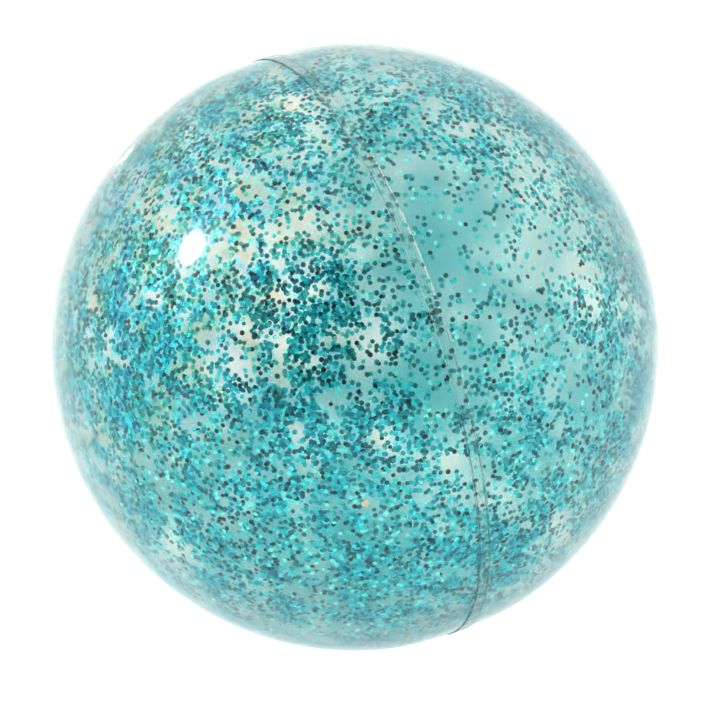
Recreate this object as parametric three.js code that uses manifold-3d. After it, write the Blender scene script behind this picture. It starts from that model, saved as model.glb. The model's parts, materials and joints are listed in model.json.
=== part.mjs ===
// Inflatable glitter beach ball. Two formed clear film panels are lap-welded round one great circle.
// A push-in valve sits at the pole of the right panel, and glitter flakes cling to the inside.
// Millimetres, +Z up. The ball rests on z = 0 with its centre above the origin.
//
// Pieces are drawn in the ball's own frame, where +Y runs from the left panel's pole to the valve.
// A latitude is measured from the seam plane, positive on the valve's side. A longitude is measured
// round +Y from +Z, which points almost straight up once the ball is turned to rest.
import * as THREE from 'three';
import { mergeVertices } from 'three/addons/utils/BufferGeometryUtils.js';
import Module from 'manifold-3d';

const wasm = await Module();
wasm.setup();

const { degToRad } = THREE.MathUtils;

// Ball
const ballDiameter = 400;
const filmThickness = 0.3;
const fitGap = 0.3; // between pieces that are pressed or welded together
const axisTilt = degToRad(10); // the valve's axis above the horizontal
const restPatchRadius = 18; // the soft skin flattens where it stands
const waistDepth = 1.4; // how far the stiff weld draws the skin in
const waistAngle = degToRad(14); // how far to each side it does so

// Lap weld
const lapWidth = 8;
const weldThickness = 0.4;
const weldInset = 0.6; // from each edge of the lap to the fused ring
const lapRamp = 10; // the outer film comes down to the skin over this length

// Valve
const boreDiameter = 8;
const stemWall = 2;
const stemLength = 19.4;
const stemRecess = 0.6; // stem's mouth below the ball's surface when pushed in
const seatLip = 1.5; // the valve seat is this much wider than the stem
const seatThickness = 1.5;
const flangeWidth = 8.5;
const flangeThickness = 0.8;
const filmHoleMargin = 1.5; // the hole in the film is wider than the flange's opening
const bellowsWall = 0.8;
const bellowsReach = 6.4; // from the strap's foot down to the bellows' foot
const plugLength = 8;
const plugClearance = 0.3;
const headOverhang = 0.6; // the stopper's head is wider than the stem
const headThickness = 1.4;
const strapWidth = 4;
const strapThickness = 0.8;
const strapClearance = 1.7; // from the strap to the bellows round it
const strapFoot = 6; // below the stem's mouth
const flapMargin = 1.4; // beyond the bore, all round
const flapThickness = 0.4;
const hingeGap = 0.7; // between the flap and its weld tab
const tabWidth = 5;
const tabLength = 1.5;

// Glitter
const flakeWidth = 3; // across corners
const flakeThickness = 0.25;
const starWidth = 6.5; // across points
const starWaist = 0.55; // inner radius as a share of the outer
const flakeLean = degToRad(14);
const looseCount = 12;
const loosePileRadius = 17;
const looseClearance = 0.6;
const hexCountPerPanel = 12;
const poleMargin = degToRad(14); // flakes keep this far from the poles
const seamMargin = degToRad(6); // and this far from the seam
const looseTrack = degToRad(9); // half-width of the band that the loose flakes sweep
const starPlaces = [[9, 97], [-29, 122], [37, 71], [-21, 92], [58, 150], [-62, 20], [24, -40], [-44, -110]];

// Facets
const roundSteps = 72;
const domeRows = 20;
const valveSteps = 24;

// Worked out from the sizes above
const ballRadius = ballDiameter / 2;
const lapAngle = lapWidth / 2 / ballRadius;
const rampAngle = lapRamp / ballRadius;
const lapLift = 2 * fitGap + weldThickness + filmThickness;
const restHeight = Math.sqrt(skinRadius(axisTilt) ** 2 - restPatchRadius ** 2);
const rowSag = ballRadius * (1 - Math.cos(Math.PI / 4 / domeRows)); // facets lie inside the true sphere
const facetSag = rowSag + ballRadius * (1 - Math.cos(Math.PI / roundSteps));
const underSkin = ballRadius - filmThickness - rowSag - fitGap; // clears the inside of the film
const stemRadius = boreDiameter / 2 + stemWall;
const seatRadius = stemRadius + seatLip;
const headRadius = stemRadius + headOverhang;
const bellowsMouth = headRadius + fitGap + strapThickness + strapClearance + bellowsWall;
const flangeOpening = bellowsMouth + fitGap;
const filmHoleRadius = flangeOpening + filmHoleMargin;
const stemMouth = ballRadius - stemRecess;
const stemEnd = stemMouth - stemLength;
const flapRadius = boreDiameter / 2 + flapMargin;
const flapFace = stemEnd - fitGap;
const flapEdge = boreDiameter / 2 + flapMargin / 2; // straight edge at the hinge

const filmColor = 0xcfe3e0;
const valveColor = 0xe9efee;
const flakeColors = [0x1f7f86, 0x2fb3b0, 0x14555e, 0x57c9cf];
const looks = {
  film: { color: filmColor, roughness: 0.12, metalness: 0 },
  weld: { color: 0xb9d4d2, roughness: 0.25, metalness: 0 },
  valve: { color: valveColor, roughness: 0.35, metalness: 0 },
  star: { color: 0xd9d2a8, roughness: 0.2, metalness: 0.8 },
};

function smooth(t) {
  return t * t * (3 - 2 * t);
}

// Outer radius of the skin, drawn in at the seam.
function skinRadius(latitude) {
  const nearness = Math.max(0, 1 - Math.abs(latitude) / waistAngle);
  return ballRadius - waistDepth * smooth(nearness);
}

function profilePoint(radius, latitude) {
  return new THREE.Vector2(radius * Math.cos(latitude), radius * Math.sin(latitude));
}

// Evenly spaced latitudes, both ends included.
function latitudes(from, to, rows) {
  return Array.from({ length: rows + 1 }, (_, row) => from + (to - from) * row / rows);
}

function addMesh(parent, name, geometry, look) {
  const mesh = new THREE.Mesh(geometry, new THREE.MeshStandardMaterial(look));
  mesh.name = name;
  parent.add(mesh);
  return mesh;
}

// A closed ring round +Y from a closed outline of [radius, height] points, counter-clockwise.
function ring(outline, steps) {
  const points = [...outline, outline[0]].map(([radius, height]) => new THREE.Vector2(radius, height));
  return new THREE.LatheGeometry(points, steps);
}

function toSolid(geometry) {
  geometry.deleteAttribute('normal');
  geometry.deleteAttribute('uv');
  const merged = mergeVertices(geometry, 1e-4);
  const corners = merged.index.array;
  const kept = [];
  for (let i = 0; i < corners.length; i += 3) {
    const [a, b, c] = corners.slice(i, i + 3);
    if (a !== b && b !== c && c !== a) kept.push(a, b, c);
  }
  return new wasm.Manifold(new wasm.Mesh({
    numProp: 3,
    vertProperties: merged.attributes.position.array,
    triVerts: Uint32Array.from(kept),
  }));
}

function toGeometry(solid) {
  const { vertProperties, triVerts } = solid.getMesh();
  const geometry = new THREE.BufferGeometry();
  geometry.setAttribute('position', new THREE.BufferAttribute(vertProperties, 3));
  geometry.setIndex(new THREE.BufferAttribute(triVerts, 1));
  return geometry;
}

// The ball's frame: +Y turned to lie along +X, then raised by the tilt, with the centre at rest height.
const ball = new THREE.Group();
ball.position.z = restHeight;
ball.rotation.set(0, -axisTilt, -Math.PI / 2, 'YZX');
ball.updateMatrixWorld(true);

// Everything below a height above the ground, in the ball's frame.
function groundBelow(height) {
  const size = 3 * ballDiameter;
  const block = new THREE.BoxGeometry(size, size, size);
  block.translate(0, 0, height - size / 2);
  block.applyMatrix4(ball.matrixWorld.clone().invert());
  return toSolid(block);
}

// The space inside the left skin from its pole to an open end, standing on flattened ground.
function leftDome(inset, openLatitude, groundHeight) {
  const meridian = latitudes(-Math.PI / 2, -lapAngle, domeRows).concat(openLatitude);
  const profile = meridian.map((latitude) => profilePoint(skinRadius(latitude) - inset, latitude));
  profile[0].x = 0;
  profile.push(new THREE.Vector2(0, profile.at(-1).y));
  return toSolid(new THREE.LatheGeometry(profile, roundSteps)).subtract(groundBelow(groundHeight));
}

function leftPanel() {
  const outside = leftDome(0, lapAngle, 0);
  const inside = leftDome(filmThickness, 2 * lapAngle, filmThickness);
  return toGeometry(outside.subtract(inside));
}

// Height of the right film above the skin: full over the lap, then down a ramp.
function lapHeight(latitude) {
  const down = THREE.MathUtils.clamp((latitude - lapAngle) / rampAngle, 0, 1);
  return lapLift * (1 - smooth(down));
}

function rightPanel() {
  const holeLatitude = Math.acos(filmHoleRadius / ballRadius);
  const rampTop = lapAngle + rampAngle;
  const lap = [-lapAngle, 0, lapAngle, lapAngle + rampAngle / 2];
  const meridian = lap.concat(latitudes(rampTop, holeLatitude, domeRows - 1));
  const surface = (latitude, inset) => {
    const point = profilePoint(skinRadius(latitude) + lapHeight(latitude) - inset, latitude);
    return point.toArray();
  };
  const outer = meridian.map((latitude) => surface(latitude, 0));
  const inner = meridian.map((latitude) => surface(latitude, filmThickness)).reverse();
  return ring([...outer, ...inner], roundSteps);
}

function weldBand() {
  const edge = lapAngle - weldInset / ballRadius;
  const surface = (latitude, height) => profilePoint(skinRadius(latitude) + height, latitude).toArray();
  const outer = [-edge, 0, edge].map((latitude) => surface(latitude, fitGap + weldThickness));
  const inner = [edge, 0, -edge].map((latitude) => surface(latitude, fitGap));
  return ring([...outer, ...inner], roundSteps);
}

// A washer that follows the inside of the skin.
function valveFlange() {
  const radii = [flangeOpening + flangeWidth, flangeOpening + flangeWidth / 2, flangeOpening];
  const on = (sphere) => (radius) => [radius, Math.sqrt(sphere ** 2 - radius ** 2)];
  const outer = radii.map(on(underSkin));
  const inner = radii.map(on(underSkin - flangeThickness)).reverse();
  return ring([...outer, ...inner], roundSteps);
}

// A soft funnel from the flange's opening down to the stem.
function valveBellows() {
  const top = underSkin - flangeThickness;
  const foot = stemMouth - strapFoot - bellowsReach;
  const grip = stemRadius + fitGap;
  return ring([
    [grip, foot],
    [grip + bellowsWall, foot],
    [bellowsMouth, top],
    [bellowsMouth - bellowsWall, top],
  ], valveSteps);
}

function valveStem() {
  const bore = boreDiameter / 2;
  return ring([
    [bore, stemEnd],
    [seatRadius, stemEnd],
    [seatRadius, stemEnd + seatThickness],
    [stemRadius, stemEnd + seatThickness],
    [stemRadius, stemMouth],
    [bore, stemMouth],
  ], valveSteps);
}

// A plug with a bead and a round head over the stem's mouth.
function valveStopper() {
  const plug = boreDiameter / 2 - plugClearance;
  const under = stemMouth + fitGap;
  const tip = stemMouth - plugLength;
  const profile = [
    [0, tip],
    [plug - 0.8, tip],
    [plug - 0.2, tip + 1.5],
    [plug, tip + 3],
    [plug - 0.2, tip + 4.5],
    [plug - 0.2, under],
    [headRadius, under],
    [headRadius, under + headThickness / 2],
    [headRadius - 0.6, under + headThickness],
    [0, under + headThickness],
  ];
  const points = profile.map(([radius, height]) => new THREE.Vector2(radius, height));
  return new THREE.LatheGeometry(points, valveSteps);
}

// Extrudes an outline drawn in the plane of the axis (x out from it, y along it), centred on z = 0.
function plate(outline, width) {
  const shape = new THREE.Shape(outline.map(([x, y]) => new THREE.Vector2(x, y)));
  const geometry = new THREE.ExtrudeGeometry(shape, { depth: width, bevelEnabled: false });
  return geometry.translate(0, 0, -width / 2);
}

// The strap lies folded beside the stem, from a foot on it up to the stopper's head.
function stopperStrap() {
  const foot = stemMouth - strapFoot;
  const near = stemRadius + fitGap;
  const head = headRadius + fitGap;
  const top = stemMouth + fitGap + headThickness / 2;
  return plate([
    [near, foot],
    [near + strapThickness, foot],
    [near + 1.5 * strapThickness, foot + strapFoot / 2],
    [head + strapThickness, top],
    [head, top],
    [near + 0.5 * strapThickness, foot + strapFoot / 2],
    [near, foot + strapThickness],
  ], strapWidth);
}

// The flap is a disc with a straight edge at its hinge.
function valveFlap() {
  const shape = new THREE.Shape();
  const half = Math.acos(flapEdge / flapRadius);
  shape.absarc(0, 0, flapRadius, half, 2 * Math.PI - half, false);
  shape.closePath();
  const geometry = new THREE.ExtrudeGeometry(shape, {
    depth: flapThickness,
    bevelEnabled: false,
    curveSegments: valveSteps,
  });
  return geometry.rotateX(Math.PI / 2).rotateY(-Math.PI / 2);
}

function flapTab() {
  return new THREE.BoxGeometry(tabWidth, flapThickness, tabLength);
}

function hexFlake() {
  return new THREE.CylinderGeometry(flakeWidth / 2, flakeWidth / 2, flakeThickness, 6);
}

function starFlake() {
  const shape = new THREE.Shape();
  for (let corner = 0; corner < 10; corner += 1) {
    const radius = (starWidth / 2) * (corner % 2 ? starWaist : 1);
    const angle = corner * Math.PI / 5;
    shape.lineTo(radius * Math.cos(angle), radius * Math.sin(angle));
  }
  shape.closePath();
  const geometry = new THREE.ExtrudeGeometry(shape, { depth: flakeThickness, bevelEnabled: false });
  geometry.translate(0, 0, -flakeThickness / 2);
  return geometry.rotateX(-Math.PI / 2);
}

// Lays a flake, whose face is its +Y side, against the skin at a latitude and a longitude.
function layFlake(mesh, latitude, longitude, radius, lean, spin) {
  const out = new THREE.Vector3(
    Math.cos(latitude) * Math.sin(longitude),
    Math.sin(latitude),
    Math.cos(latitude) * Math.cos(longitude),
  );
  const leaned = new THREE.Quaternion().setFromEuler(new THREE.Euler(lean, spin, 0, 'YXZ'));
  mesh.position.copy(out).multiplyScalar(radius);
  mesh.quaternion.setFromUnitVectors(new THREE.Vector3(0, 1, 0), out).multiply(leaned);
}

// Radius at which a flake of some width clears the faceted inside of the skin.
function clingRadius(latitude, width) {
  const reach = width / 2 * Math.sin(flakeLean) + flakeThickness / 2;
  return skinRadius(latitude) - filmThickness - facetSag - fitGap - reach;
}

const goldenAngle = Math.PI * (3 - Math.sqrt(5));

function flakeLook(i) {
  return { color: flakeColors[i % flakeColors.length], roughness: 0.25, metalness: 0.8 };
}

// Spreads flakes evenly by area between two latitudes.
function scatterHexes(parent, prefix, fromLatitude, toLatitude) {
  const low = Math.sin(fromLatitude);
  const high = Math.sin(toLatitude);
  for (let i = 0; i < hexCountPerPanel; i += 1) {
    const latitude = Math.asin(low + (high - low) * (i + 0.5) / hexCountPerPanel);
    const mesh = addMesh(parent, `${prefix}_${i + 1}`, hexFlake(), flakeLook(i));
    const radius = clingRadius(latitude, flakeWidth);
    layFlake(mesh, latitude, i * goldenAngle, radius, flakeLean * Math.sin(i), i);
  }
}

// Stars stay where they cling. Each is given by its latitude and longitude in degrees.
function placeStars(parent) {
  starPlaces.forEach(([latitudeDeg, longitudeDeg], i) => {
    const latitude = degToRad(latitudeDeg);
    const mesh = addMesh(parent, `glitter_star_${i + 1}`, starFlake(), looks.star);
    const radius = clingRadius(latitude, starWidth);
    layFlake(mesh, latitude, degToRad(longitudeDeg), radius, flakeLean * Math.cos(2 * i), i);
  });
}

// Loose flakes lie in a spiral patch over the flattened ground, clear of it as they slide round.
function placeLooseFlakes(parent) {
  const farCorner = restHeight - filmThickness - looseClearance;
  const radius = Math.sqrt(farCorner ** 2 - (flakeWidth / 2) ** 2) - flakeThickness / 2;
  for (let i = 0; i < looseCount; i += 1) {
    const spread = loosePileRadius * Math.sqrt((i + 0.5) / looseCount) / radius;
    const latitude = -axisTilt + spread * Math.cos(i * goldenAngle);
    const longitude = Math.PI + spread * Math.sin(i * goldenAngle) / Math.cos(latitude);
    const mesh = addMesh(parent, `loose_flake_${i + 1}`, hexFlake(), flakeLook(i + 1));
    layFlake(mesh, latitude, longitude, radius, 0, 2 * i);
  }
}

// The hinge side of the valve faces +Z.
function placeValve(parent) {
  addMesh(parent, 'valve_flange', valveFlange(), looks.valve);
  addMesh(parent, 'valve_bellows', valveBellows(), looks.valve);
  addMesh(parent, 'valve_stem', valveStem(), looks.valve);
  addMesh(parent, 'valve_stopper', valveStopper(), looks.valve);
  addMesh(parent, 'stopper_strap', stopperStrap(), looks.valve);

  const flap = addMesh(parent, 'valve_flap', valveFlap(), looks.valve);
  flap.position.y = flapFace;
  const tab = addMesh(parent, 'flap_tab', flapTab(), looks.valve);
  tab.position.set(0, flapFace - flapThickness / 2, flapEdge + hingeGap + tabLength / 2);
}

addMesh(ball, 'panel_left', leftPanel(), looks.film);
addMesh(ball, 'panel_right', rightPanel(), looks.film);
addMesh(ball, 'weld_band', weldBand(), looks.weld);
placeValve(ball);
scatterHexes(ball, 'right_flake', seamMargin, Math.PI / 2 - poleMargin);
scatterHexes(ball, 'left_flake', -axisTilt - looseTrack, poleMargin - Math.PI / 2);
placeStars(ball);
placeLooseFlakes(ball);

export default ball;
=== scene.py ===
import json
import math

import bmesh
import bpy
import numpy as np
from mathutils import Matrix, Vector


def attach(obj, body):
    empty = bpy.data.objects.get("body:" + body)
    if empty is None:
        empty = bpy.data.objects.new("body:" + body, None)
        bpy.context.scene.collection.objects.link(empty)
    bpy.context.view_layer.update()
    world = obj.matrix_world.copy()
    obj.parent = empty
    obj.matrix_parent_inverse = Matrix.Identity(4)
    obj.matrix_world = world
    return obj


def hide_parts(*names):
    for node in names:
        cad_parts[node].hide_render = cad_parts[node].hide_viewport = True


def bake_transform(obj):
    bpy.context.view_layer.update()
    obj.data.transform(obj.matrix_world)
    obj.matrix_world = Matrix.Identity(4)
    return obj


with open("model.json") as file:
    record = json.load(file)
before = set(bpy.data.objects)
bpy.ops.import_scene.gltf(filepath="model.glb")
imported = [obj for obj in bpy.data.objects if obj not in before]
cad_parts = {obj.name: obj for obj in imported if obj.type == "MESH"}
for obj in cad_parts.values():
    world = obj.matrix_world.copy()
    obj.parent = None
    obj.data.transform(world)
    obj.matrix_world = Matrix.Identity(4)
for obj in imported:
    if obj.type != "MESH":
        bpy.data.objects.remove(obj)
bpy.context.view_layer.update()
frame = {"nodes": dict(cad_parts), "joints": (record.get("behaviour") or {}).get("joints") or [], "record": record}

MM = 0.001
TAU = 2 * math.pi
QUARTER = math.pi / 2

# ---------------------------------------------------------------- sizes

BALL_RADIUS = 200 * MM
FILM = 0.3 * MM
WAIST_DEPTH = 1.4 * MM
WAIST_ANGLE = math.radians(14)
LAP_WIDTH = 8 * MM
LAP_RAMP = 10 * MM
BEAD = 0.17 * MM  # radius of the vinyl squeezed out along each edge of the weld
BEAD_PROUD = 0.2  # how far a bead's middle stands over the film, as a share of its radius
WHEEL_LINE = 0.10 * MM  # radius of the lines the welding wheel leaves between the beads
WHEEL_PROUD = 0.3  # the same for a wheel line
PAINTED_SHADE_LINE = 0.14 * MM  # radius of the dark teal line along the inside of the lap, painted shade beside each bead
PAINTED_SHADE_SUNK = -3.2  # the same for the painted shade line, which lies under the film's surface
TUBE_STEPS = 8
PUCKER_HEIGHT = 0.16 * MM
PUCKER_REACH = 11 * MM

# The valve's places along its axis are measured from the ball's centre, and its reaches from the axis
STEM_BORE = 4 * MM
STEM_OUTER = 6 * MM
STEM_FOOT = 180 * MM
STEM_TOP = 199.4 * MM
SEAT_OUTER = 7.5 * MM
SEAT_THICKNESS = 1.5 * MM
GRIP_RIB = 0.22 * MM
FILM_HOLE = 12 * MM
FLANGE_INNER = 10.5 * MM
FLANGE_OUTER = 19 * MM
FLANGE_TOP_DEPTH = 0.8 * MM
FLANGE_UNDER_DEPTH = 1.6 * MM
FLANGE_RING_HEIGHT = 0.12 * MM
FLANGE_RING_PITCH = 1.4 * MM
BELLOWS_FOOT = 187.0 * MM
BELLOWS_RISE = 11.3 * MM
BELLOWS_FLARE = 3.1 * MM
BELLOWS_FOLD = 0.14 * MM
BELLOWS_FOLDS = 4
PLUG_NOSE = 191.4 * MM
PLUG_RADIUS = 3.45 * MM
PLUG_BEAD = 3.68 * MM
HEAD_RADIUS = 6.6 * MM
HEAD_UNDER = 199.7 * MM
STRAP_FOOT = 193.4 * MM
STRAP_RISE = 7.0 * MM
STRAP_REACH = 7.0 * MM
STRAP_BOW = 0.12 * MM
STRAP_HALF_THICK = 0.35 * MM
STRAP_HALF_WIDE = 1.95 * MM

FLAKE_WIDTH = 3.4 * MM
FLAKE_THICKNESS = 0.08 * MM
FLAKE_LEAN = math.radians(8.5)
CLING_GAP = 0.2 * MM
CLING_NEAR = 0.5 * MM
CLING_DEEP = 1.3 * MM
VALVE_CLEAR = 21 * MM
PATCH_CLEAR = 20 * MM
CLING_PIECES = 10
PER_SQUARE_METRE = 200000.0
PILE_REACH = math.radians(8)
PILE_TOP = 195.9 * MM
PILE_SPREAD = 0.8 * MM

ROUND_STEPS = 288
DOME_ROWS = 96
VALVE_STEPS = 96
STRAP_STEPS = 16

VIEW_AZIMUTH = math.radians(-22.3)
VIEW_ELEVATION = math.radians(24.1)
VIEW_DISTANCE = 14 * BALL_RADIUS
VIEW_FILL = 0.845  # share of the frame's half-width that the ball's radius takes
AIM_RIGHT = 3.3 * MM
AIM_UP = -8.8 * MM


def joint_named(name):
    return next(joint for joint in frame["joints"] if joint["name"] == name)


SPIN = joint_named("glitter_slide")
CENTRE = np.array(SPIN["pos_m"], float)
AXIS = np.array(SPIN["axis"], float) / np.linalg.norm(SPIN["axis"])
ACROSS = np.array((0.0, -1.0, 0.0))
ABOVE = np.cross(ACROSS, AXIS)
DOWN = np.array((0.0, 0.0, -1.0))

VIEW_RIGHT = np.array((math.cos(VIEW_AZIMUTH), math.sin(VIEW_AZIMUTH), 0.0))
VIEW_BACK = np.array((
    math.sin(VIEW_AZIMUTH) * math.cos(VIEW_ELEVATION),
    -math.cos(VIEW_AZIMUTH) * math.cos(VIEW_ELEVATION),
    math.sin(VIEW_ELEVATION)))
VIEW_UP = np.cross(VIEW_BACK, VIEW_RIGHT)


def seen_at(across, up):
    """The direction of the place on the ball's front at these shares of its radius from the middle."""
    depth = math.sqrt(max(0.0, 1 - across ** 2 - up ** 2))
    return across * VIEW_RIGHT + up * VIEW_UP + depth * VIEW_BACK


def seen_through(across, up):
    """The direction of the place on the ball's far wall that lies straight behind seen_at's."""
    front = seen_at(across, up)
    return front - 2 * (front @ VIEW_BACK) * VIEW_BACK


LAP_ANGLE = LAP_WIDTH / 2 / BALL_RADIUS
RAMP_ANGLE = LAP_RAMP / BALL_RADIUS
LAP_LIFT = FILM + 0.25 * MM  # the films are fused here, so they lie closer than their solids do

EVEN_COVER = 0.46
CLUMPING = 0.72
BARE_HAZE = 0.12  # the least haze anywhere but under the lap

# Heaps and bald spots in the glitter: direction from the centre, reach in degrees, change in cover
DRIFTS = [
    (seen_at(-0.12, 0.0), 15, 0.34),
    (seen_at(0.18, 0.42), 14, -0.26),
    (seen_at(0.20, 0.12), 12, -0.24),
    (seen_at(0.58, 0.30), 22, -0.32),
    (seen_at(0.50, 0.80), 18, 0.26),
    (seen_at(0.62, -0.30), 15, -0.10),
    (seen_at(0.05, -0.56), 20, -0.15),
    (seen_at(0.50, -0.60), 18, 0.16),
    (seen_at(0.98, 0.05), 26, 0.50),
    (seen_at(0.15, -0.95), 30, 0.22),
    (seen_at(-0.50, -0.58), 22, 0.16),
    (seen_at(-0.88, -0.10), 30, 0.22),
    (seen_at(-0.50, 0.76), 18, 0.18),
    (seen_through(0.55, 0.25), 26, 0.38),
    (seen_through(0.25, -0.50), 32, 0.50),
    (seen_through(-0.50, -0.55), 24, 0.30),
    (seen_through(-0.35, 0.35), 26, -0.12),
]

# ---------------------------------------------------------------- the ball's shape

def smooth(t):
    return t * t * (3 - 2 * t)


def skin_radius(latitude):
    nearness = np.clip(1 - np.abs(latitude) / WAIST_ANGLE, 0, 1)
    return BALL_RADIUS - WAIST_DEPTH * smooth(nearness)


def lap_height(latitude):
    return LAP_LIFT * (1 - smooth(np.clip((latitude - LAP_ANGLE) / RAMP_ANGLE, 0, 1)))


def on_ball(radius, latitude, longitude):
    """World points at radii from the centre, latitudes and longitudes."""
    ring = radius * np.cos(latitude)
    across = np.outer((ring * np.sin(longitude)).ravel(), ACROSS)
    above = np.outer((ring * np.cos(longitude)).ravel(), ABOVE)
    along = np.outer((radius * np.sin(latitude)).ravel(), AXIS)
    return CENTRE + across + above + along


def puckers(latitude, longitude):
    """Small gathers where the curved film was drawn flat under the welding wheel."""
    nearness = np.exp(-(np.abs(latitude) * BALL_RADIUS / PUCKER_REACH) ** 2)
    broad = np.sin(61 * longitude + 1.3 * np.sin(7 * longitude))
    fine = np.sin(97 * longitude + 2 * np.sin(5 * longitude))
    return PUCKER_HEIGHT * nearness * (broad + 0.6 * fine) / 1.6


def right_surface(latitude):
    return skin_radius(latitude) + lap_height(latitude)


def wave_noise(points, scale, seed, octaves=3):
    """Soft seeded noise with a spread of 1, from plane waves in many directions."""
    source = np.random.default_rng(seed)
    total = np.zeros(len(points))
    for octave in range(octaves):
        for _ in range(8):
            direction = source.normal(size=3)
            direction /= np.linalg.norm(direction)
            phase = source.uniform(0, TAU)
            total += np.sin(points @ direction * scale * 2.1 ** octave + phase) / 1.4 ** octave
    return total / total.std()


def glitter_cover(points):
    """How thickly the glitter lies, 0 to 1, at points on the inside of the film: clumps all over, and
    the drifts, each a heap or a bald spot with its own middle, reach and amount."""
    out = (points - CENTRE) / BALL_RADIUS
    cover = np.full(len(out), EVEN_COVER)
    for towards, reach, amount in DRIFTS:
        middle = np.array(towards) / np.linalg.norm(towards)
        angle = np.arccos(np.clip(out @ middle, -1, 1))
        cover += amount * np.exp(-(angle / math.radians(reach)) ** 2)
    broad = 0.25 * wave_noise(out, 8.0, 3)
    middling = 0.4 * wave_noise(out, 26.0, 5)
    fine = 0.45 * wave_noise(out, 60.0, 9)
    clumps = np.clip(1 + CLUMPING * (broad + middling + fine), 0.06, 2.8)
    return np.clip(np.clip(cover, 0.05, 1) * clumps, 0, 1)


def clear_of_fittings(points):
    """1 where flakes may cling, 0 round the valve and over the flat the ball rests on."""
    out = points - CENTRE
    along = out @ AXIS
    from_valve = np.linalg.norm(out - np.outer(along, AXIS), axis=1)
    from_patch = np.linalg.norm(out - np.outer(out @ DOWN, DOWN), axis=1)
    near_valve = (along > 0) & (from_valve < VALVE_CLEAR)
    near_patch = (out @ DOWN > 0) & (from_patch < PATCH_CLEAR)
    return 1.0 - (near_valve | near_patch)


# ---------------------------------------------------------------- meshes

def new_object(name, verts, faces, materials=(), is_smooth=True, closed=True):
    """A mesh object at the origin; a closed one gets its faces turned outward."""
    mesh = bpy.data.meshes.new(name)
    mesh.from_pydata([tuple(v) for v in verts], [], faces)
    if closed:
        shape = bmesh.new()
        shape.from_mesh(mesh)
        bmesh.ops.recalc_face_normals(shape, faces=shape.faces)
        shape.to_mesh(mesh)
        shape.free()
    mesh.polygons.foreach_set("use_smooth", [is_smooth] * len(mesh.polygons))
    for material in materials:
        mesh.materials.append(material)
    obj = bpy.data.objects.new(name, mesh)
    bpy.context.scene.collection.objects.link(obj)
    return obj


def ring_faces(rows):
    """Joins rows of point numbers, closed round, the last row to the first; a row of one is a pole."""
    faces = []
    for a, b in zip(rows, rows[1:] + rows[:1]):
        count = max(len(a), len(b))
        for j in range(count if len(a) + len(b) > 2 else 0):
            k = (j + 1) % count
            if len(a) == 1:
                faces.append((a[0], b[k], b[j]))
            elif len(b) == 1:
                faces.append((a[j], a[k], b[0]))
            else:
                faces.append((a[j], a[k], b[k], b[j]))
    return faces


def film_skin(name, outer, surface, material, lap_haze):
    """A closed skin round the axis between an outer surface and the same surface a film's thickness in."""
    longitude = np.arange(ROUND_STEPS) * TAU / ROUND_STEPS
    verts, rows = [], []
    latitudes = np.concatenate([outer, outer[::-1]])
    inwards = np.repeat([0.0, FILM], len(outer))
    for latitude, inward in zip(latitudes, inwards):
        at_pole = abs(abs(latitude) - QUARTER) < 1e-9
        lon = longitude[:1] if at_pole else longitude
        lat = np.full(len(lon), latitude)
        radius = surface(lat) + (0 if at_pole else puckers(lat, lon)) - inward
        points = on_ball(radius, lat, lon)
        points[:, 2] = np.maximum(points[:, 2], inward)
        rows.append(range(len(verts), len(verts) + len(points)))
        verts.extend(points)
    obj = new_object(name, verts, ring_faces(rows), [material])
    counts = [len(row) for row in rows]
    haze = np.maximum(glitter_cover(np.array(verts)), BARE_HAZE)
    haze[np.repeat(np.abs(latitudes) < LAP_ANGLE, counts)] *= lap_haze
    attribute = obj.data.attributes.new("haze", "FLOAT", "POINT")
    attribute.data.foreach_set("value", haze.astype(np.float32))
    return obj


def turned(name, profile, material, steps=VALVE_STEPS):
    """A closed turned solid on the valve's axis from a closed profile of (distance from the axis, place
    along the axis from the ball's centre). A point on the axis is a pole."""
    turn = np.arange(steps) * TAU / steps
    verts, rows = [], []
    for reach, along in profile:
        angle = turn if reach > 1e-6 else turn[:1]
        points = (CENTRE + np.outer(reach * np.sin(angle), ACROSS) + np.outer(reach * np.cos(angle), ABOVE)
                  + along * AXIS)
        rows.append(range(len(verts), len(verts) + len(points)))
        verts.extend(points)
    return new_object(name, verts, ring_faces(rows), [material])


def rounded(profile, radius, arc_steps=4):
    """The profile with every corner off the axis rounded, by at most 40% of its shorter side."""
    points = [np.array(p, float) for p in profile]
    result = []
    for i, corner in enumerate(points):
        before, after = points[i - 1], points[(i + 1) % len(points)]
        if corner[0] < 1e-6:
            result.append(tuple(corner))
            continue
        cut = min(radius, 0.4 * np.linalg.norm(before - corner), 0.4 * np.linalg.norm(after - corner))
        start = corner + cut * (before - corner) / np.linalg.norm(before - corner)
        end = corner + cut * (after - corner) / np.linalg.norm(after - corner)
        for t in np.linspace(0, 1, arc_steps + 1):
            result.append(tuple((1 - t) ** 2 * start + 2 * t * (1 - t) * corner + t * t * end))
    return result


# ---------------------------------------------------------------- shader groups

class ShaderGroup:
    """A shader node group with named inputs and outputs."""

    def __init__(self, name, inputs, outputs):
        self.tree = bpy.data.node_groups.new(name, "ShaderNodeTree")
        for label, kind, default in inputs:
            made = self.tree.interface.new_socket(name=label, in_out="INPUT", socket_type=kind)
            made.default_value = default
        for label, kind in outputs:
            self.tree.interface.new_socket(name=label, in_out="OUTPUT", socket_type=kind)
        self.start = self.tree.nodes.new("NodeGroupInput")
        self.end = self.tree.nodes.new("NodeGroupOutput")


def add_node(tree, kind, values=None, **settings):
    made = tree.nodes.new(kind)
    for key, value in settings.items():
        setattr(made, key, value)
    for key, value in (values or {}).items():
        if isinstance(value, bpy.types.NodeSocket):
            tree.links.new(value, made.inputs[key])
        else:
            made.inputs[key].default_value = value
    return made


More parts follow.
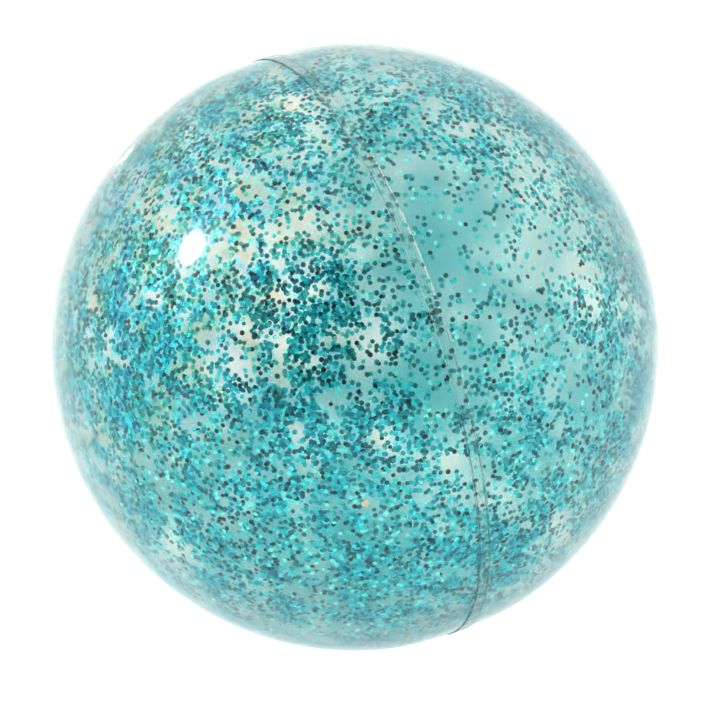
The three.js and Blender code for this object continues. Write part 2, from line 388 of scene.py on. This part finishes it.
def vinyl_grain_group():
    """Fine surface grain of calendered vinyl: a height for bump and a mask of duller patches."""
    group = ShaderGroup("vinyl_grain", [
        ("Grain Size", "NodeSocketFloat", 900.0), ("Patch Size", "NodeSocketFloat", 28.0)],
        [("Height", "NodeSocketFloat"), ("Dullness", "NodeSocketFloat")])
    tree = group.tree
    coords = add_node(tree, "ShaderNodeTexCoord")
    grain = add_node(tree, "ShaderNodeTexNoise", {
        "Vector": coords.outputs["Object"], "Scale": group.start.outputs["Grain Size"], "Detail": 2.0})
    patch = add_node(tree, "ShaderNodeTexNoise", {
        "Vector": coords.outputs["Object"], "Scale": group.start.outputs["Patch Size"], "Detail": 3.0})
    tree.links.new(grain.outputs["Fac"], group.end.inputs["Height"])
    tree.links.new(patch.outputs["Fac"], group.end.inputs["Dullness"])
    return group.tree


PEACH = (1.0, 0.66, 0.40, 1)
PALE_YELLOW = (1.0, 0.88, 0.66, 1)
NEAR_WHITE = (0.94, 0.97, 0.96, 1)
SKY_BLUE = (0.80, 0.91, 1.0, 1)
LILAC = (0.90, 0.84, 1.0, 1)


def rainbow_group():
    """Thin-layer colours in soft patches: peach, pale yellow, white, sky blue and lilac."""
    group = ShaderGroup(
        "rainbow_sheen", [("Scale", "NodeSocketFloat", 30.0)], [("Colour", "NodeSocketColor")])
    tree = group.tree
    coords = add_node(tree, "ShaderNodeTexCoord")
    noise = add_node(tree, "ShaderNodeTexNoise", {
        "Vector": coords.outputs["Object"], "Scale": group.start.outputs["Scale"], "Detail": 1.0,
        "Distortion": 0.6})
    ramp = add_node(tree, "ShaderNodeValToRGB", {"Fac": noise.outputs["Fac"]})
    stops = ramp.color_ramp.elements
    stops[0].position = 0.37
    stops[0].color = PEACH
    stops[1].position = 0.67
    stops[1].color = LILAC
    for place, colour in ((0.44, PALE_YELLOW), (0.50, NEAR_WHITE), (0.58, SKY_BLUE)):
        stops.new(place).color = colour
    tree.links.new(ramp.outputs["Color"], group.end.inputs["Colour"])
    return group.tree


def place_group(tree, group, **values):
    made = tree.nodes.new("ShaderNodeGroup")
    made.node_tree = group
    for key, value in values.items():
        made.inputs[key.replace("_", " ")].default_value = value
    return made


def new_material(name, **values):
    """A material with one Principled shader, its constants on the shader's own sockets."""
    material = bpy.data.materials.new(name)
    material.use_nodes = True
    tree = material.node_tree
    tree.nodes.clear()
    shader = tree.nodes.new("ShaderNodeBsdfPrincipled")
    output = tree.nodes.new("ShaderNodeOutputMaterial")
    tree.links.new(shader.outputs[0], output.inputs["Surface"])
    for key, value in values.items():
        shader.inputs[key.replace("_", " ")].default_value = value
    return material, tree, shader


def map_range(tree, value, low, high, to_low, to_high):
    ranged = add_node(tree, "ShaderNodeMapRange", {
        "Value": value, "From Min": low, "From Max": high, "To Min": to_low, "To Max": to_high})
    return ranged.outputs["Result"]


def mix_colour(tree, amount, a, b, blend="MIX"):
    made = tree.nodes.new("ShaderNodeMix")
    made.data_type = "RGBA"
    made.blend_type = blend
    for socket, value in ((made.inputs[0], amount), (made.inputs[6], a), (made.inputs[7], b)):
        if isinstance(value, bpy.types.NodeSocket):
            tree.links.new(value, socket)
        else:
            socket.default_value = value
    return made.outputs[2]


def grain_bump(tree, shader, grain, distance, strength):
    bump = add_node(tree, "ShaderNodeBump", {
        "Height": grain.outputs["Height"], "Distance": distance, "Strength": strength})
    tree.links.new(bump.outputs["Normal"], shader.inputs["Normal"])


# ---------------------------------------------------------------- materials

CREAM = (0.96, 0.945, 0.885, 1)
HAZE_TINT = (0.32, 0.83, 0.86, 1)
RIM_TEAL = (0.05, 0.60, 0.66, 1)
# The lit upper-left side, near the soft box's gleam, where a rainbow sheen is painted into the film's colour: a
# painted reflection.
PAINTED_SHEEN_SIDE = seen_at(-0.66, 0.36)


def film_material():
    """Clear film: cream where bare, aqua where a fine haze of glitter lies, and a rainbow sheen painted into its
    colour on the lit upper-left side: a painted reflection.
    """
    material, tree, shader = new_material(
        "clear_vinyl_film", IOR=1.2, Transmission_Weight=1.0, Coat_Weight=0.22, Coat_Roughness=0.06,
        Sheen_Weight=0.2, Sheen_Roughness=0.3, Sheen_Tint=RIM_TEAL)
    grain = place_group(tree, GRAIN, Grain_Size=450.0, Patch_Size=22.0)
    haze = add_node(tree, "ShaderNodeAttribute", attribute_name="haze")
    ramp = add_node(tree, "ShaderNodeValToRGB", {"Fac": haze.outputs["Fac"]})
    stops = ramp.color_ramp.elements
    stops[0].color = (1, 1, 1, 1)
    stops[1].color = HAZE_TINT
    stops.new(BARE_HAZE).color = CREAM
    stops.new(BARE_HAZE + 0.16).color = CREAM
    coords = add_node(tree, "ShaderNodeTexCoord")
    place = add_node(tree, "ShaderNodeVectorMath", {
        0: coords.outputs["Object"], 1: tuple(-CENTRE)}, operation="ADD")
    # The rainbow is multiplied in only towards the lit upper-left side: a painted sheen, a painted reflection of
    # the light.
    side = add_node(tree, "ShaderNodeVectorMath", {
        0: place.outputs[0], 1: PAINTED_SHEEN_SIDE}, operation="DOT_PRODUCT")
    sheen = place_group(tree, RAINBOW, Scale=55.0)
    amount = map_range(tree, side.outputs["Value"], 0.12, 0.19, 0.0, 0.42)
    colour = mix_colour(tree, amount, ramp.outputs["Color"], sheen.outputs["Colour"], "MULTIPLY")
    tree.links.new(colour, shader.inputs["Base Color"])
    dull = map_range(tree, grain.outputs["Dullness"], 0.3, 0.7, 0.23, 0.29)
    slant = add_node(tree, "ShaderNodeLayerWeight", {"Blend": 0.5}).outputs["Facing"]
    glossier = map_range(tree, slant, 0.45, 0.9, 1.0, 0.3)
    roughness = add_node(tree, "ShaderNodeMath", {0: dull, 1: glossier}, operation="MULTIPLY")
    tree.links.new(roughness.outputs[0], shader.inputs["Roughness"])
    return material


def clear_vinyl(name, colour, roughness, transmission, ior=1.4):
    """Moulded soft vinyl, clear or milky."""
    material, tree, shader = new_material(
        name, Base_Color=colour, IOR=ior, Transmission_Weight=transmission, Coat_Weight=0.2)
    grain = place_group(tree, GRAIN, Grain_Size=700.0, Patch_Size=120.0)
    dull = map_range(tree, grain.outputs["Dullness"], 0.3, 0.7, roughness * 0.8, roughness * 1.3)
    tree.links.new(dull, shader.inputs["Roughness"])
    grain_bump(tree, shader, grain, 0.05 * MM, 0.3)
    return material


def flake_material(name, colour, roughness, metallic):
    """Coloured metallised film, faintly embossed."""
    material, tree, shader = new_material(
        name, Base_Color=(*colour, 1), Metallic=metallic, Specular_IOR_Level=0.15)
    grain = place_group(tree, GRAIN, Grain_Size=320.0, Patch_Size=500.0)
    dull = map_range(tree, grain.outputs["Dullness"], 0.3, 0.7, roughness * 0.7, roughness * 1.5)
    tree.links.new(dull, shader.inputs["Roughness"])
    grain_bump(tree, shader, grain, 0.3 * MM, 0.7)
    return material


def star_material():
    """Iridescent film, pale with rainbow patches."""
    material, tree, shader = new_material("iridescent_star", Metallic=0.55)
    sheen = place_group(tree, RAINBOW, Scale=170.0)
    grain = place_group(tree, GRAIN, Grain_Size=1400.0, Patch_Size=400.0)
    tree.links.new(sheen.outputs["Colour"], shader.inputs["Base Color"])
    dull = map_range(tree, grain.outputs["Dullness"], 0.3, 0.7, 0.15, 0.4)
    tree.links.new(dull, shader.inputs["Roughness"])
    grain_bump(tree, shader, grain, 0.04 * MM, 0.35)
    return material


# ---------------------------------------------------------------- glitter by geometry nodes

class GeometryTree:
    """A geometry node tree with named inputs."""

    def __init__(self, name):
        self.tree = bpy.data.node_groups.new(name, "GeometryNodeTree")
        self.tree.is_modifier = True
        self.inputs = {}
        self.tree.interface.new_socket(name="Geometry", in_out="INPUT", socket_type="NodeSocketGeometry")
        self.tree.interface.new_socket(name="Geometry", in_out="OUTPUT", socket_type="NodeSocketGeometry")
        self.start = self.tree.nodes.new("NodeGroupInput")
        self.end = self.tree.nodes.new("NodeGroupOutput")

    def named_input(self, name, kind, default):
        made = self.tree.interface.new_socket(name=name, in_out="INPUT", socket_type=kind)
        made.default_value = default
        self.inputs[name] = made.identifier

    def add(self, kind, values=None, **settings):
        return add_node(self.tree, kind, values, **settings)

    def maths(self, operation, a, b):
        return self.add("ShaderNodeMath", {0: a, 1: b}, operation=operation).outputs[0]

    def random(self, low, high, seed):
        made = self.add("FunctionNodeRandomValue", {"Min": low, "Max": high, "Seed": seed}, data_type="FLOAT")
        return made.outputs["Value"]

    def attribute(self, name, kind="FLOAT"):
        return self.add("GeometryNodeInputNamedAttribute", {"Name": name}, data_type=kind).outputs[0]


def scatter_points(made):
    """Points on the surface where its cover attribute asks for them, each sunk a little below it."""
    group_in = made.start.outputs
    per_area = made.maths("MULTIPLY", made.attribute("cover"), group_in["Per Square Metre"])
    points = made.add("GeometryNodeDistributePointsOnFaces", {
        "Mesh": group_in["Geometry"], "Density": per_area, "Seed": group_in["Seed"]},
        distribute_method="RANDOM")
    depth = made.maths("MULTIPLY", made.random(-1.0, 0.0, 11), group_in["Depth"])
    sink = made.add("ShaderNodeVectorMath", {0: points.outputs["Normal"], "Scale": depth}, operation="SCALE")
    placed = made.add("GeometryNodeSetPosition", {
        "Geometry": points.outputs["Points"], "Offset": sink.outputs[0]})
    return placed.outputs[0], points.outputs["Rotation"]


def leaning(made, rotation):
    """The surface's rotation, spun at random and leaned a little; two draws added keep most nearly flat."""
    leans = []
    for seed in (21, 23):
        both = made.maths("ADD", made.random(-1.0, 1.0, seed), made.random(-1.0, 1.0, seed + 1))
        leans.append(made.maths("MULTIPLY", both, made.start.outputs["Lean"]))
    euler = made.add("ShaderNodeCombineXYZ", {0: leans[0], 1: leans[1], 2: made.random(0.0, TAU, 25)})
    turn = made.add("FunctionNodeEulerToRotation", {0: euler.outputs[0]})
    both = made.add("FunctionNodeRotateRotation", {"Rotation": rotation, "Rotate By": turn.outputs[0]},
                    rotation_space="LOCAL")
    return both.outputs[0]


def hexagon(made):
    """One punched hexagon of film, its inward face marked."""
    radius = made.maths("MULTIPLY", made.start.outputs["Flake Width"], 0.5)
    flake = made.add("GeometryNodeMeshCylinder", {
        "Vertices": 6, "Radius": radius, "Depth": made.start.outputs["Flake Thickness"]}, fill_type="NGON")
    marked = made.add("GeometryNodeStoreNamedAttribute", {
        "Geometry": flake.outputs["Mesh"], "Name": "inward", "Value": flake.outputs["Bottom"]},
        data_type="BOOLEAN", domain="FACE")
    return marked.outputs[0]


def colour_flakes(made, geometry, tones):
    """Gives each flake a tone by its random number, and its inward face that tone's inward material, lighter and
    duller: painted light, so that the far-wall flakes seen across the ball look lit.
    """
    tone = made.attribute("tone")
    inward = made.attribute("inward", "BOOLEAN")
    floor = -1.0
    for outer, inner, share in tones:
        above = made.maths("GREATER_THAN", tone, floor)
        for material, where in ((outer, above), (inner, None)):
            if where is None:
                both = made.add("FunctionNodeBooleanMath", {0: above, 1: inward}, operation="AND")
                where = both.outputs[0]
            chosen = made.add("GeometryNodeSetMaterial", {
                "Geometry": geometry, "Selection": where, "Material": material})
            geometry = chosen.outputs[0]
        floor = max(floor, 0.0) + share
    return geometry


def glitter_tree(tones):
    """Scatters leaning hexagonal flakes over a surface, in drifts, in a mix of tones."""
    made = GeometryTree("scatter_glitter")
    for name, kind, default in (
        ("Flake Width", "NodeSocketFloat", FLAKE_WIDTH),
        ("Flake Thickness", "NodeSocketFloat", FLAKE_THICKNESS),
        ("Per Square Metre", "NodeSocketFloat", PER_SQUARE_METRE),
        ("Depth", "NodeSocketFloat", CLING_DEEP - CLING_NEAR),
        ("Lean", "NodeSocketFloat", FLAKE_LEAN),
        ("Seed", "NodeSocketInt", 1),
    ):
        made.named_input(name, kind, default)
    points, rotation = scatter_points(made)
    size = made.random(0.86, 1.1, 29)
    copies = made.add("GeometryNodeInstanceOnPoints", {
        "Points": points, "Instance": hexagon(made), "Rotation": leaning(made, rotation), "Scale": size})
    toned = made.add("GeometryNodeStoreNamedAttribute", {
        "Geometry": copies.outputs[0], "Name": "tone", "Value": made.random(0.0, 1.0, 31)},
        data_type="FLOAT", domain="INSTANCE")
    real = made.add("GeometryNodeRealizeInstances", {0: toned.outputs[0]})
    made.tree.links.new(colour_flakes(made, real.outputs[0], tones), made.end.inputs[0])
    return made


def run_tree(name, source, made, **values):
    """Runs a node tree on a source object and keeps the result as a plain mesh object."""
    modifier = source.modifiers.new("scatter", "NODES")
    modifier.node_group = made.tree
    for key, value in values.items():
        modifier[made.inputs[key.replace("_", " ")]] = value
    mesh = bpy.data.meshes.new_from_object(source.evaluated_get(bpy.context.evaluated_depsgraph_get()))
    source.modifiers.remove(modifier)
    bpy.data.objects.remove(source)
    mesh.name = name
    for attribute in ("tone", "cover", "inward"):
        if attribute in mesh.attributes:
            mesh.attributes.remove(mesh.attributes[attribute])
    obj = bpy.data.objects.new(name, mesh)
    bpy.context.scene.collection.objects.link(obj)
    return obj


def scatter_surface(latitudes, longitudes, radius, cover):
    """A grid on the ball, facing outward, with its cover attribute."""
    lat, lon = np.meshgrid(latitudes, longitudes, indexing="ij")
    points = on_ball(radius(lat), lat, lon)
    points[:, 2] = np.maximum(points[:, 2], FILM + CLING_GAP)
    wide = len(longitudes)
    faces = [(r * wide + c, r * wide + c + 1, (r + 1) * wide + c + 1, (r + 1) * wide + c)
             for r in range(len(latitudes) - 1) for c in range(wide - 1)]
    obj = new_object("scatter_source", points, faces, closed=False)
    attribute = obj.data.attributes.new("cover", "FLOAT", "POINT")
    attribute.data.foreach_set("value", cover(points).astype(np.float32))
    return obj


def cling_radius(latitude):
    return skin_radius(latitude) - FILM - CLING_GAP - CLING_NEAR


def add_cling_glitter(made):
    latitudes = np.linspace(-QUARTER + 0.008, QUARTER - 0.008, 181)
    for i in range(CLING_PIECES):
        longitudes = np.linspace(i, i + 1, 46) * TAU / CLING_PIECES
        source = scatter_surface(
            latitudes, longitudes, cling_radius, lambda p: glitter_cover(p) * clear_of_fittings(p))
        piece = run_tree(f"cling_glitter_{i + 1}", source, made, Seed=40 + i)
        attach(piece, "ball")


def pile_cover(points):
    out = (points - CENTRE) / np.linalg.norm(points - CENTRE, axis=1)[:, None]
    angle = np.arccos(np.clip(out @ DOWN, -1, 1))
    return np.clip(1.6 * (1 - angle / PILE_REACH), 0, 1)


def add_loose_glitter(made):
    low = math.asin(float(DOWN @ AXIS))
    latitudes = np.linspace(low - PILE_REACH, low + PILE_REACH, 41)
    longitudes = np.linspace(math.pi - PILE_REACH, math.pi + PILE_REACH, 41)
    source = scatter_surface(latitudes, longitudes, lambda lat: np.full_like(lat, PILE_TOP), pile_cover)
    pile = run_tree("loose_glitter_pile", source, made, Seed=77, Per_Square_Metre=320000.0, Depth=PILE_SPREAD)
    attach(pile, "loose_glitter")
    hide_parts(*[f"loose_flake_{i}" for i in range(1, 13)])


# ---------------------------------------------------------------- film panels and weld

def weld_line_rows(share, thick, proud, seed):
    """Rings of points for one thin line round the weld, at this share of the lap's half-width."""
    longitude = np.arange(ROUND_STEPS) * TAU / ROUND_STEPS
    latitude = share * LAP_ANGLE
    level = np.full(ROUND_STEPS, latitude)
    spots = on_ball(BALL_RADIUS, level, longitude)
    swell = np.clip(0.75 + 0.4 * wave_noise((spots - CENTRE) / BALL_RADIUS, 14.0, seed), 0.15, 1.4)
    surface = right_surface(latitude) + puckers(level, longitude)
    rows = []
    for angle in np.arange(TUBE_STEPS) * TAU / TUBE_STEPS:
        radius = surface + thick * (proud + swell * np.sin(angle))
        lat = latitude + thick * swell * np.cos(angle) / BALL_RADIUS
        rows.append(on_ball(radius, lat, longitude))
    return rows


def add_weld(vinyl, painted_shade_material):
    """The weld: a bead along each edge and lines from the welding wheel, in milky vinyl partly painted as a
    highlight, and broken dark teal lines inside the lap, painted shade beside the beads.
    """
    beads = [(side, BEAD, BEAD_PROUD, 0) for side in (-1.0, 1.0)]
    # Broken dark teal lines inside the lap next to the beads: painted shade, standing in for the shadow along the
    # weld's step.
    painted_shade_lines = [(share, PAINTED_SHADE_LINE, PAINTED_SHADE_SUNK, 1) for share in (-0.72, 0.72)]
    wheel_lines = [(share, WHEEL_LINE, WHEEL_PROUD, 0) for share in (-0.45, 0.0, 0.45)]
    verts, faces, slots = [], [], []
    for share, thick, proud, slot in beads + painted_shade_lines + wheel_lines:
        rows = []
        for points in weld_line_rows(share, thick, proud, 11 + slot):
            rows.append(range(len(verts), len(verts) + ROUND_STEPS))
            verts.extend(points)
        made = ring_faces(rows)
        faces.extend(made)
        slots.extend([slot] * len(made))
    weld = new_object("weld_lines", verts, faces, [vinyl, painted_shade_material])
    weld.data.polygons.foreach_set("material_index", slots)
    ride_and_slot(weld, "ball", "weld", "weld_band")


def ride_and_slot(piece, body, slot, *replaced):
    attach(piece, body)
    if replaced:
        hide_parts(*replaced)


def add_film(material):
    left_rows = np.concatenate([
        np.linspace(-QUARTER, -LAP_ANGLE * 3, DOME_ROWS), np.linspace(-LAP_ANGLE * 2.6, LAP_ANGLE, 10)])
    left = film_skin("film_left", left_rows, skin_radius, material, 0.0)  # clear under the lap
    hole_latitude = math.acos(FILM_HOLE / BALL_RADIUS)
    right_rows = np.concatenate([
        np.linspace(-LAP_ANGLE, LAP_ANGLE + RAMP_ANGLE, 21),
        np.linspace(LAP_ANGLE + RAMP_ANGLE * 1.2, hole_latitude, DOME_ROWS)])
    right = film_skin("film_right", right_rows, right_surface, material, 1.0)
    ride_and_slot(left, "ball", "clear_film", "panel_left")
    ride_and_slot(right, "ball", "clear_film", "panel_right")


# ---------------------------------------------------------------- valve


def curved_row(reaches, depth):
    """Points that follow the ball's curve a depth under its skin, at distances from the valve's axis."""
    return [(reach, math.sqrt((BALL_RADIUS - depth) ** 2 - reach ** 2)) for reach in reaches]


def add_flange(vinyl):
    """The disc welded under the film round the valve, with raised weld rings on its inner face."""
    top = curved_row(np.linspace(FLANGE_INNER, FLANGE_OUTER, 12), FLANGE_TOP_DEPTH)
    under = curved_row(np.linspace(FLANGE_OUTER, FLANGE_INNER, 52), FLANGE_UNDER_DEPTH)
    ringed = [(reach, along - FLANGE_RING_HEIGHT * (0.5 + 0.5 * math.cos(reach * TAU / FLANGE_RING_PITCH)))
              for reach, along in under]
    ride_and_slot(turned("flange_disc", top + ringed, vinyl), "ball", "valve_vinyl", "valve_flange")


def add_bellows(vinyl):
    """The soft corrugated funnel that lets the stem be pulled out and pressed home."""
    share = np.linspace(0, 1, 33)
    fold = BELLOWS_FOLD * np.sin(share * TAU * BELLOWS_FOLDS)
    along = BELLOWS_FOOT + BELLOWS_RISE * share
    outer = list(zip(7.1 * MM + BELLOWS_FLARE * share + fold, along))
    inner = list(zip(6.4 * MM + (BELLOWS_FLARE - 0.1 * MM) * share + fold, along))
    bellows = turned("bellows_funnel", outer + inner[::-1], vinyl)
    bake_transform(bellows)
    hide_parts("valve_bellows")


def grip_rib(middle):
    """A low rib round the stem at this place along the axis."""
    half = 0.4 * MM
    return [(STEM_OUTER, middle - half), (STEM_OUTER + GRIP_RIB, middle), (STEM_OUTER, middle + half)]


def add_stem(vinyl):
    """The tube, with a seat at its foot, two grip ribs and a rolled lip."""
    seat_top = STEM_FOOT + SEAT_THICKNESS
    seat = [(STEM_BORE, STEM_FOOT), (SEAT_OUTER, STEM_FOOT), (SEAT_OUTER, seat_top), (STEM_OUTER, seat_top)]
    lip = [(STEM_OUTER, STEM_TOP - 1.2 * MM), (STEM_OUTER + 0.2 * MM, STEM_TOP - 0.6 * MM),
           (STEM_OUTER, STEM_TOP), (STEM_BORE + 0.3 * MM, STEM_TOP), (STEM_BORE, STEM_TOP - 0.4 * MM)]
    profile = rounded(seat + grip_rib(183.8 * MM) + grip_rib(185.6 * MM) + lip, 0.3 * MM)
    ride_and_slot(turned("stem_tube", profile, vinyl), "valve_tube", "valve_vinyl", "valve_stem")


def add_stopper(vinyl):
    """The plug: a barbed nose and a low domed head with a ring to catch a fingernail."""
    nose = [(0.0, PLUG_NOSE), (2.7 * MM, PLUG_NOSE), (PLUG_RADIUS, PLUG_NOSE + 1.5 * MM),
            (PLUG_BEAD, PLUG_NOSE + 3.0 * MM), (PLUG_RADIUS, PLUG_NOSE + 4.5 * MM), (PLUG_RADIUS, HEAD_UNDER)]
    head = [(HEAD_RADIUS, HEAD_UNDER), (HEAD_RADIUS, HEAD_UNDER + 0.7 * MM),
            (5.7 * MM, HEAD_UNDER + 1.1 * MM), (5.2 * MM, HEAD_UNDER + 0.9 * MM),
            (4.4 * MM, HEAD_UNDER + 1.0 * MM), (3.8 * MM, HEAD_UNDER + 1.3 * MM),
            (0.0, HEAD_UNDER + 1.4 * MM)]
    plug = turned("stopper_plug", rounded(nose + head, 0.25 * MM), vinyl)
    ride_and_slot(plug, "stopper", "valve_vinyl", "valve_stopper")


def add_strap(vinyl):
    """The little strap that keeps the stopper with its stem: a rounded band with a foot, slightly bowed."""
    share = np.linspace(0, 1, 25)
    along = STRAP_FOOT + STRAP_RISE * share
    bow = STRAP_REACH + STRAP_BOW * np.sin(share * math.pi)
    half_thick = STRAP_HALF_THICK * np.where((share < 0.03) | (share > 0.97), 0.6, 1.0)
    half_wide = STRAP_HALF_WIDE * (1 - 0.16 * np.sin(share * math.pi))
    around = np.arange(STRAP_STEPS) * TAU / STRAP_STEPS
    rows, verts = [], []
    for a, b, t, w in zip(along, bow, half_thick, half_wide):
        reach = b + t * np.sign(np.cos(around)) * np.abs(np.cos(around)) ** 0.5
        side = w * np.sign(np.sin(around)) * np.abs(np.sin(around)) ** 0.5
        points = CENTRE + np.outer(reach, ACROSS) + np.outer(side, ABOVE) + a * AXIS
        rows.append(range(len(verts), len(verts) + STRAP_STEPS))
        verts.extend(points)
    faces = []
    for low, high in zip(rows, rows[1:]):
        for j in range(STRAP_STEPS):
            k = (j + 1) % STRAP_STEPS
            faces.append((low[j], low[k], high[k], high[j]))
    faces += [tuple(rows[0]), tuple(rows[-1])]
    strap = new_object("strap_band", verts, faces, [vinyl])
    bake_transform(strap)
    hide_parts("stopper_strap")


def set_material(name, material):
    mesh = frame["nodes"][name].data
    mesh.materials.clear()
    mesh.materials.append(material)


# ---------------------------------------------------------------- camera, light and floor

def add_camera():
    right, up, back = Vector(VIEW_RIGHT), Vector(VIEW_UP), Vector(VIEW_BACK)
    data = bpy.data.cameras.new("camera")
    half_ball = math.tan(math.asin(BALL_RADIUS / VIEW_DISTANCE))
    data.lens = data.sensor_width / 2 * VIEW_FILL / half_ball
    data.clip_end = 100
    camera = bpy.data.objects.new("camera", data)
    turn = Matrix((right, up, back)).transposed()
    aim = Vector(CENTRE) + AIM_RIGHT * right + AIM_UP * up
    camera.matrix_world = Matrix.Translation(aim + back * VIEW_DISTANCE) @ turn.to_4x4()
    bpy.context.scene.collection.objects.link(camera)
    bpy.context.scene.camera = camera


def add_world():
    """A white studio all round, with the shade of the unlit room on the camera's side."""
    world = bpy.data.worlds.new("studio")
    bpy.context.scene.world = world
    world.use_nodes = True
    tree = world.node_tree
    tree.nodes.clear()
    coords = add_node(tree, "ShaderNodeTexCoord")
    facing = add_node(tree, "ShaderNodeVectorMath", {0: coords.outputs["Generated"], 1: VIEW_BACK},
                      operation="DOT_PRODUCT")
    ramp = add_node(tree, "ShaderNodeValToRGB", {"Fac": facing.outputs["Value"]})
    lit, unlit = ramp.color_ramp.elements
    lit.position = 0.62
    lit.color = (1, 1, 1, 1)
    unlit.position = 0.95
    unlit.color = (0.22, 0.22, 0.22, 1)
    background = add_node(tree, "ShaderNodeBackground", {"Color": ramp.outputs["Color"], "Strength": 1.22})
    output = add_node(tree, "ShaderNodeOutputWorld")
    tree.links.new(background.outputs[0], output.inputs[0])


def add_light(name, gleam, distance, width, height, power):
    """An oval soft light placed so that its gleam shows at this place on the ball's front."""
    data = bpy.data.lights.new(name, "AREA")
    data.shape = "ELLIPSE"
    data.size = width
    data.size_y = height
    data.energy = power
    light = bpy.data.objects.new(name, data)
    out = Vector(2 * (gleam @ VIEW_BACK) * gleam - VIEW_BACK)
    side = Vector(VIEW_UP).cross(out).normalized()
    turn = Matrix((side, out.cross(side), out)).transposed().to_4x4()
    light.matrix_world = Matrix.Translation(Vector(CENTRE + BALL_RADIUS * gleam) + out * distance) @ turn
    bpy.context.scene.collection.objects.link(light)


def add_floor():
    material, tree, shader = new_material(
        "pale_floor", Base_Color=(0.3, 0.3, 0.3, 1), Emission_Color=(1, 1, 1, 1), Emission_Strength=0.95)
    grain = place_group(tree, GRAIN, Grain_Size=60.0, Patch_Size=2.0)
    tree.links.new(map_range(tree, grain.outputs["Dullness"], 0, 1, 0.8, 1.0), shader.inputs["Roughness"])
    half = 30.0
    corners = [(-half, -half, 0), (half, -half, 0), (half, half, 0), (-half, half, 0)]
    floor = new_object("floor", corners, [(0, 1, 2, 3)], [material], is_smooth=False, closed=False)


# ---------------------------------------------------------------- putting it together

bpy.context.scene.view_settings.view_transform = "Standard"
GRAIN = vinyl_grain_group()
RAINBOW = rainbow_group()
add_camera()
add_world()
add_light("soft_box", seen_at(-0.52, 0.317), distance=2.0, width=0.38, height=0.42, power=27)
add_light("rim_light", seen_at(-0.747, 0.623), distance=2.5, width=0.08, height=0.08, power=0.5)
add_floor()

add_film(film_material())

# Inward faces, seen on the far-wall flakes across the ball: lighter and duller than the outward tones, painted
# light for how those flakes are lit.
INSIDE_PAINTED_LIT_BRIGHT = flake_material("glitter_inner_painted_lit_bright", (0.04, 0.80, 0.86), 0.45, 0.3)
INSIDE_PAINTED_LIT = flake_material("glitter_inner_teal_painted_lit", (0.015, 0.60, 0.68), 0.45, 0.3)
TEAL = flake_material("glitter_teal_flake", (0.002, 0.42, 0.50), 0.3, 0.65)
DEEP = flake_material("glitter_deep_flake", (0.0, 0.19, 0.23), 0.3, 0.65)
# Near-black flakes stand in for teal flakes that mirror the dark surroundings: painted shade, a painted dark
# reflection.
PAINTED_DARK_REFLECTION = flake_material("glitter_flake_painted_dark_reflection", (0.0, 0.045, 0.06), 0.3, 0.6)
CYAN = flake_material("glitter_cyan_flake", (0.015, 0.70, 0.77), 0.3, 0.65)
# Near-white cyan flakes mixed in at random stand in for sparkles: painted glints, light reflected off tilted
# flakes painted into their colour.
PAINTED_GLINT = flake_material("glitter_flake_painted_glint", (0.22, 1.0, 1.0), 0.25, 0.7)
# Each tone: outward material, inward material, share of the flakes.
TONES = [
    (TEAL, INSIDE_PAINTED_LIT, 0.30),
    (DEEP, INSIDE_PAINTED_LIT_BRIGHT, 0.25),
    (CYAN, INSIDE_PAINTED_LIT_BRIGHT, 0.25),
    (PAINTED_DARK_REFLECTION, INSIDE_PAINTED_LIT, 0.06),
    (PAINTED_GLINT, INSIDE_PAINTED_LIT_BRIGHT, 0.14),
]
GLITTER = glitter_tree(TONES)
add_cling_glitter(GLITTER)
add_loose_glitter(GLITTER)

MOULDED = clear_vinyl("moulded_vinyl", (0.50, 0.80, 0.82, 1), 0.3, 0.2)
# Milky vinyl for the weld's beads and wheel lines, whiter than the film: partly the milky welded vinyl, partly a
# painted highlight along these raised lines.
WELD_VINYL_AND_PAINTED_HIGHLIGHT = clear_vinyl("weld_bead_and_painted_highlight", (0.86, 0.98, 0.99, 1), 0.25, 0.8)
# DEEP here colours the painted shade lines inside the lap.
add_weld(WELD_VINYL_AND_PAINTED_HIGHLIGHT, DEEP)
for add_piece in (add_flange, add_bellows, add_stem, add_stopper, add_strap):
    add_piece(MOULDED)
STAR = star_material()
FLAKES = {"glitter_teal": TEAL, "glitter_cyan": CYAN, "glitter_dark": DEEP, "glitter_bright": PAINTED_GLINT}
for subpart in frame["record"]["subparts"]:
    name, slot = subpart["node"], subpart["material_slot"]
    if slot in FLAKES:
        set_material(name, FLAKES[slot])
    elif slot == "iridescent_star":
        set_material(name, STAR)
    elif slot == "valve_vinyl":
        set_material(name, MOULDED)
